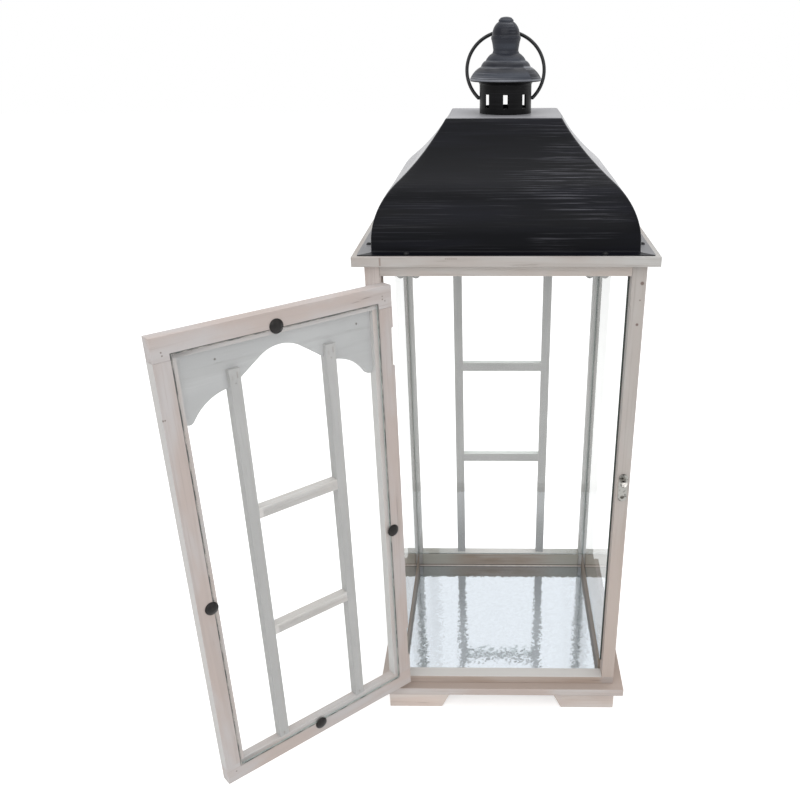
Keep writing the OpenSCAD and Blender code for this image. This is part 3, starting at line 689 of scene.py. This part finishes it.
def build_door_seal(material):
    """Bead in the corner between the door's pane and its rabbet."""
    low, high = closed_box("door_pane")
    mesh = bmesh.new()
    y0, y1 = high.y, high.y + SEAL_H
    x0, x1, z0, z1 = low.x, high.x, low.z, high.z
    bars = [
        ((x0, y0, z0), (x1, y1, z0 + SEAL_W)),
        ((x0, y0, z1 - SEAL_W), (x1, y1, z1)),
        ((x0, y0, z0 + SEAL_W), (x0 + SEAL_W, y1, z1 - SEAL_W)),
        ((x1 - SEAL_W, y0, z0 + SEAL_W), (x1, y1, z1 - SEAL_W)),
    ]
    for a, b in bars:
        add_box(mesh, a, b, SEAL_BEVEL)
    open_door(mesh)
    new_piece("door_pane_seal", mesh, "door", "black_plastic", material)


def build_valance_nails(material):
    """Heads of the nails that hold the door's valance."""
    face = closed_box("door_valance")[1].y
    lying = Matrix.Rotation(math.radians(90), 4, "X")
    mesh = bmesh.new()
    for u in VALANCE_NAILS:
        at = Matrix.Translation((u * MM, face, VALANCE_NAIL_Z * MM))
        bmesh.ops.create_cone(
            mesh, cap_ends=True, segments=16, radius1=NAIL_R, radius2=NAIL_R,
            depth=NAIL_H, matrix=at @ lying,
        )
    open_door(mesh)
    new_piece("valance_nails", mesh, "door", "dark_steel", material)


def build_sheet_edge(gap, rim):
    """The sheet's back edge, turned up against the rail, and a painted shadow in the joint above it.
    """
    low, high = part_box("floor_sheet")
    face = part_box("rail_back")[0].y
    for name, material, slot, start, tall, out in (
        ("sheet_rim", rim, "galvanised_sheet", 0.0, RIM_H, RIM_OUT),
        ("sheet_joint", gap, "grey_wood", RIM_H, JOINT_H, JOINT_OUT),
    ):
        mesh = bmesh.new()
        bottom = high.z + start * MM
        add_box(mesh, (low.x, face - out * MM, bottom), (high.x, face, bottom + tall * MM))
        new_piece(name, mesh, "lantern", slot, material)


# ---- stage and light ----

WHITE = (1, 1, 1, 1)
WORLD_LIGHT = 0.55
FLOOR_LIFT = 0.58
FLOOR_HALF = 8
FLOOR_TONE = (0.88, 0.88, 0.88, 1)
LIGHTS = {
    "key": {"at": (-0.6, -2.6, 2.4), "target": (0, 0, 0.3), "size": (3.4, 2.6), "watts": 40},
    "top": {"at": (0.2, 0.3, 2.6), "target": (0, 0, 0.3), "size": (2.2, 2.2), "watts": 22},
    "fill": {"at": (2.2, -1.2, 1.2), "target": (0, 0, 0.35), "size": (1.6, 1.6), "watts": 5},
}


def seen_directly(tree):
    """A socket that is 1 for camera, glossy and transmission rays."""
    path = tree.nodes.new("ShaderNodeLightPath")
    total = path.outputs["Is Camera Ray"]
    for name in ("Is Glossy Ray", "Is Transmission Ray"):
        add = tree.nodes.new("ShaderNodeMath")
        add.use_clamp = True
        tree.links.new(total, add.inputs[0])
        tree.links.new(path.outputs[name], add.inputs[1])
        total = add.outputs[0]
    return total


def make_world():
    """A white world that lights the lantern less strongly than it looks."""
    world = bpy.data.worlds.new("studio")
    bpy.context.scene.world = world
    world.use_nodes = True
    tree = world.node_tree
    background = tree.nodes["Background"]
    background.inputs["Color"].default_value = WHITE
    strength = tree.nodes.new("ShaderNodeMapRange")
    strength.inputs["To Min"].default_value = WORLD_LIGHT
    strength.inputs["To Max"].default_value = 1.0
    tree.links.new(seen_directly(tree), strength.inputs["Value"])
    tree.links.new(strength.outputs[0], background.inputs["Strength"])


def make_floor():
    """A pale matt floor, lifted to white where it is seen."""
    mesh = bmesh.new()
    bmesh.ops.create_grid(mesh, x_segments=1, y_segments=1, size=FLOOR_HALF)
    data = bpy.data.meshes.new("floor")
    mesh.to_mesh(data)
    mesh.free()
    g = Graph("pale_floor")
    lift = g.math("MULTIPLY", seen_directly(g.tree), FLOOR_LIFT)
    matt = g.add("BsdfDiffuse", {"Color": FLOOR_TONE})
    glow = g.add("Emission", {"Color": WHITE, "Strength": lift})
    data.materials.append(g.finish(g.add("AddShader", {0: matt.outputs[0], 1: glow.outputs[0]})))
    floor = bpy.data.objects.new("floor", data)
    bpy.context.scene.collection.objects.link(floor)


def make_light(name, at, target, size, watts):
    data = bpy.data.lights.new(name, "AREA")
    data.shape = "RECTANGLE"
    data.size, data.size_y = size
    data.energy = watts
    lamp = bpy.data.objects.new(name, data)
    lamp.location = at
    lamp.rotation_euler = (Vector(target) - Vector(at)).to_track_quat("-Z", "Y").to_euler()
    lamp.visible_camera = False
    bpy.context.scene.collection.objects.link(lamp)


# ---- marks on the wood, in mm ----

KNOT = "#6B5750"
SILL_END_GREY = "#B0A7A3"
SCUFF = "#857A74"
POST_FACE_Y = -139
BOARD_FACE_Y = -150
# (x, z, radius, tone) on the front, and (u, z, radius) on the door's inner face
POST_MARKS = ((135, 542, 2.6, KNOT), (133, 500, 2.0, KNOT), (134, 525, 1.2, SCUFF))
# a soft greyish patch at the sill's right end
SILL_MARK = (132, 42, 12, SILL_END_GREY)
BOARD_LINE = {"x": -122, "lift": 2, "step": 1.5, "count": 5, "radius": 1.4, "tone": "#93857E"}
BOARD_SCRATCH = {"x": -58, "lift": 8, "step": 2, "count": 6, "radius": 1.2, "tone": "#9E928B"}
DOOR_CORNER_MARKS = (
    (114, 528, 1.1), (114.5, 531, 1.1), (-112, 532, 1.1),
    (-112, 535, 1.0), (-115, 530, 1.0), (113, 62, 1.2),
)
STILE_MARKS = ((123, 472, 1.4), (125, 472.5, 1.2), (121, 472, 1.1))
MULLION_SIDE = 2.5  # from a mullion's middle to its upper scratches


def mark(x, z, radius, tone, y=POST_FACE_Y):
    """Place, radius and tone of a mark on the front, from millimetres."""
    return Vector((x, y, z)) * MM, radius * MM, tone


def board_marks():
    """An upright line near the front board's left end, and a scratch along the board."""
    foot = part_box("top_board_front")[0].z / MM
    line, scratch = BOARD_LINE, BOARD_SCRATCH
    marks = []
    for i in range(line["count"]):
        z = foot + line["lift"] + line["step"] * i
        marks.append(mark(line["x"], z, line["radius"], line["tone"], BOARD_FACE_Y))
    for i in range(scratch["count"]):
        x = scratch["x"] + scratch["step"] * i
        z = foot + scratch["lift"]
        marks.append(mark(x, z, scratch["radius"], scratch["tone"], BOARD_FACE_Y))
    return marks


def door_mark(u, z, radius, tone=SCUFF, node="door_rail_top"):
    """The same as mark, on a door node's inner face, with u across the closed door."""
    face = closed_box(node)[1].y
    at = Vector((u * MM, face, z * MM))
    return TO_OPEN @ (at - PIN) + PIN, radius * MM, tone


def mullion_marks(node):
    """Scratches at the two ends of a door mullion."""
    low, high = closed_box(node)
    middle = (low.x + high.x) / 2 / MM
    top, foot = high.z / MM, low.z / MM
    left, right = middle - MULLION_SIDE, middle + MULLION_SIDE
    marks = [door_mark(left, top - drop, 0.9, KNOT, node) for drop in (4, 6, 8)]
    marks += [door_mark(right, top - drop, 0.8, SCUFF, node) for drop in (7, 9)]
    marks += [door_mark(middle, foot + rise, 1.3, SCUFF, node) for rise in (3, 5)]
    return marks


# ---- dressing ----

FRAME_EDGE = 0.7 * MM
FRET_EDGE = 0.45 * MM
ALONG_X, ALONG_Z = 0, 2

# what tone_along takes
POST_FOOT = (ALONG_Z, 420 * MM, 120 * MM, "#C0AFA5")
# painted light: the back rail paler and greyer towards its ends
RAIL_ENDS_LIGHT = (ALONG_X, 40 * MM, 95 * MM, "#A3A39B")
# painted shade: the back mullions darker towards their feet
MULLION_FOOT_SHADE = (ALONG_Z, 170 * MM, 75 * MM, "#76736F")

# what tone_sides takes, which tones the opposite faces as well
# painted light: the sill's top paler, as lit from above
SILL_TOP_LIGHT = (UP, "#E0DFDD")
# stain and painted shade: the base board's top darker and browner than its front
BASE_TOP_STAIN_AND_SHADE = (UP, "#B5A59B")
# painted light: a pale top on the back rail, as lit from above
RAIL_TOP_LIGHT = (UP, "#DEDAD5")
# painted light: the crossbars' tops near white as lit from above, and their undersides near white
# for their reflection in the zinc
CROSSBAR_FLATS_LIGHT = (UP, "#F2F8F4")  # the zinc mirrors the undersides
# painted light: the stiles' sides near white in place of their shade
STILE_SIDE_LIGHT = (TO_OPEN @ Vector((1, 0, 0)), "#CFCECC")

CAP_RIM = 0.9 * MM  # height of the cap's rim above its brim
CAP_STEPS = ((0.46, 1.1 * MM), (0.665, 0.9 * MM))  # (share of the cap's height, width)


def give(material, *nodes):
    """Gives CAD nodes a material in place of their own."""
    for node in nodes:
        NODES[node].material_slots[0].material = material


def give_timber(edge, material, *nodes):
    """Paints wooden nodes and rounds their edges."""
    give(material, *nodes)
    for node in nodes:
        soften(node, edge)


def dress_posts():
    marks = [mark(*each) for each in POST_MARKS]
    marked = wood("wash_z_knots", GRAIN_Z, POST, marks, graded=POST_FOOT)
    give_timber(FRAME_EDGE, marked, "post_front_right")
    # the left front post takes the brighter copy of the wash, as painted light
    give_timber(FRAME_EDGE, wood("wash_z", GRAIN_Z, WASH_LIT), "post_front_left")
    back = wood("wash_z_back", GRAIN_Z, BACK)
    give_timber(FRAME_EDGE, back, "post_back_left", "post_back_right")


def dress_base():
    # the sill carries painted shade in its darker paint and painted light on its top
    sill = wood("wash_x_sill", GRAIN_X, SILL, [mark(*SILL_MARK)], sides=SILL_TOP_LIGHT)
    give_timber(FRAME_EDGE, sill, "sill_front")
    # the base board's top carries stain and painted shade
    give_timber(FRAME_EDGE, wood("wash_x_base", GRAIN_X, WASH, sides=BASE_TOP_STAIN_AND_SHADE), "base_board")
    feet = wood("wash_x_feet", GRAIN_X, FEET)
    give_timber(FRAME_EDGE, feet, "foot_front_right", "foot_back_left", "foot_back_right")
    # the front left foot takes the brighter copy of the feet, as painted light
    give_timber(FRAME_EDGE, wood("wash_x_foot_left", GRAIN_X, FEET_LIT), "foot_front_left")
    # the back rail carries painted light on its ends and its top
    back_rail = wood("rail_x", GRAIN_X, RAIL, graded=RAIL_ENDS_LIGHT, sides=RAIL_TOP_LIGHT)
    give_timber(FRAME_EDGE, back_rail, "rail_back")
    side_rail = wood("rail_y", GRAIN_Y, RAIL)
    give_timber(FRAME_EDGE, side_rail, "rail_left", "rail_right", "floor_board")


def dress_head():
    boards = wood("wash_x_high", GRAIN_X, POST, board_marks())
    give_timber(FRAME_EDGE, boards, "top_board_front", "top_board_back")
    headers = wood("wash_x_header", GRAIN_X, HEADER)
    give_timber(FRAME_EDGE, headers, "header_front", "header_back")
    sides = wood("wash_y", GRAIN_Y, POST)
    give_timber(
        FRAME_EDGE, sides, "header_left", "header_right", "top_board_left", "top_board_right"
    )


def dress_back_bars():
    give_timber(FRET_EDGE, wood("fret_x", GRAIN_X, BAR), "back_valance")
    # the back crossbars carry painted light on their tops and undersides
    crossbars = wood("fret_x_bars", GRAIN_X, BAR, sides=CROSSBAR_FLATS_LIGHT)
    give_timber(FRET_EDGE, crossbars, "back_crossbars")
    # the back mullions carry painted shade towards their feet
    mullions = wood("fret_z", GRAIN_Z, BAR, graded=MULLION_FOOT_SHADE)
    give_timber(FRET_EDGE, mullions, "back_mullion_left", "back_mullion_right")


def dress_door():
    along_x, along_z = GRAIN_X @ TO_CLOSED, GRAIN_Z @ TO_CLOSED
    corners = [door_mark(*each) for each in DOOR_CORNER_MARKS]
    rails = wood("door_wash_x", along_x, DOOR, corners)
    give_timber(FRET_EDGE, rails, "door_rail_top", "door_rail_bottom")
    scuffs = [door_mark(*each) for each in STILE_MARKS]
    # the stiles carry painted light on their sides
    stiles = wood("door_wash_z", along_z, DOOR, scuffs, sides=STILE_SIDE_LIGHT)
    give_timber(FRET_EDGE, stiles, "door_stile_hinge", "door_stile_latch")
    give_timber(FRET_EDGE, wood("door_fret_x", along_x, FRET), "door_valance")
    give_timber(FRET_EDGE, wood("door_cross_x", along_x, CROSS), "door_crossbars")
    bars = ("door_mullion_left", "door_mullion_right")
    scratches = [each for node in bars for each in mullion_marks(node)]
    give_timber(FRET_EDGE, wood("door_fret_z", along_z, DOOR_BAR, scratches), *bars)


def dress_panes():
    face = glass()
    # painted light and shade: one ground edge in three tones, dark on the right pane, mid on the
    # left, pale on the back and door panes
    edge_in_shade = glass_edge("glass_edge_in_shade", "#2E3432", "#4A524F")
    edge_half_lit = glass_edge("glass_edge_half_lit", "#857C76", "#A0968F")
    edge_lit = glass_edge("glass_edge_lit", "#8F9B97", "#AEB8B4")
    build_pane("pane_left", "lantern", face, edge_half_lit)
    build_pane("pane_right", "lantern", face, edge_in_shade)
    build_pane("pane_back", "lantern", face, edge_lit)
    build_pane("door_pane", "door", face, edge_lit, closed=True)
    build_door_seal(plain("seal", "#5B5E5C", "#BDB6B1", 90, 0.6))


def dress_roof():
    # the roof paint has painted sheen on its flange strips, its flat top and at low angles
    roof_paint = sheet_paint(
        "roof_paint", ROOF_PAINT, 0.45, 0.1, quiet=0.2, roof=True, low_angle=0.9
    )
    build_roof(roof_paint)
    give(plain("dark_steel", "#141416", "#202023", 400, 0.45, 0.2), "roof_screws")


def dress_chimney():
    give(sheet_paint("tube_paint", TUBE_PAINT, 0.3, 0.1), "chimney_tube")
    brim, neck = (corner.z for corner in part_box("chimney_cap"))
    # the cap's rim and steps get rubbed paint and a painted highlight
    ridges = [(brim + CAP_RIM, 1.2 * MM)]
    ridges += [(brim + share * (neck - brim), width) for share, width in CAP_STEPS]
    slate = sheet_paint("slate_paint", SLATE_PAINT, 0.75, 0.2, ridges=ridges)
    give(slate, "chimney_cap", "finial")
    give(plain("wire_paint", "#101214", "#1C1E21", 220, 0.3, 0.3), "ring_handle")


def dress_fittings():
    """Hinges, latch, catch, nails and the buttons that hold the door's pane."""
    nickel = plated("nickel", "#B9B4AA", 0.26)
    give(nickel, "hinge_leaves_post", "hinge_leaves_door", "hinge_pins")
    give(nickel, "latch_plate", "latch_hook", "latch_rivet")
    steel = plated("screw_steel", "#A9A49A", 0.3)
    give(steel, "hinge_screws_post", "hinge_screws_door", "latch_screw")
    # the catch plate's dark patches are dirt and painted dark reflection
    give(plated("catch_nickel", "#9A9995", 0.2, grime_and_reflection="#3A3836"), "catch_plate")
    # painted reflection: the stud's black patches stand for dark surroundings mirrored in the ball
    give(plated("bright_nickel", "#DAD7D2", 0.1, grime_and_reflection="#0E0D0C", clean=0.4), "catch_stud")
    give(plated("worn_screw", "#6F6C67", 0.3, grime_and_reflection="#1C1A18", clean=0.45), "catch_screw")
    nails = plain("nail_heads", "#5A5653", "#77726D", 500, 0.5)
    give(nails, "back_nails", "door_nails")
    build_valance_nails(nails)
    give(plain("button_black", "#0E0B0A", "#1B1614", 350, 0.3, 0.3), "pane_retainers")


def dress_floor_sheet():
    give(galvanised(), "floor_sheet")
    # painted shadow: a dark strip in the joint between the sheet and the rail
    joint = plain("painted_joint_shadow", "#3A3531", "#4A443F", 300, 0.7)
    rim = plain("rim_paint", "#CBBFB5", "#D6CCC3", 300, 0.5)
    build_sheet_edge(joint, rim)


make_camera()
dress_posts()
dress_base()
dress_head()
dress_back_bars()
dress_door()
dress_panes()
dress_roof()
dress_chimney()
dress_fittings()
dress_floor_sheet()
make_floor()
make_world()
for light_name, light in LIGHTS.items():
    make_light(light_name, **light)

scene = bpy.context.scene
scene.view_settings.view_transform = "Standard"
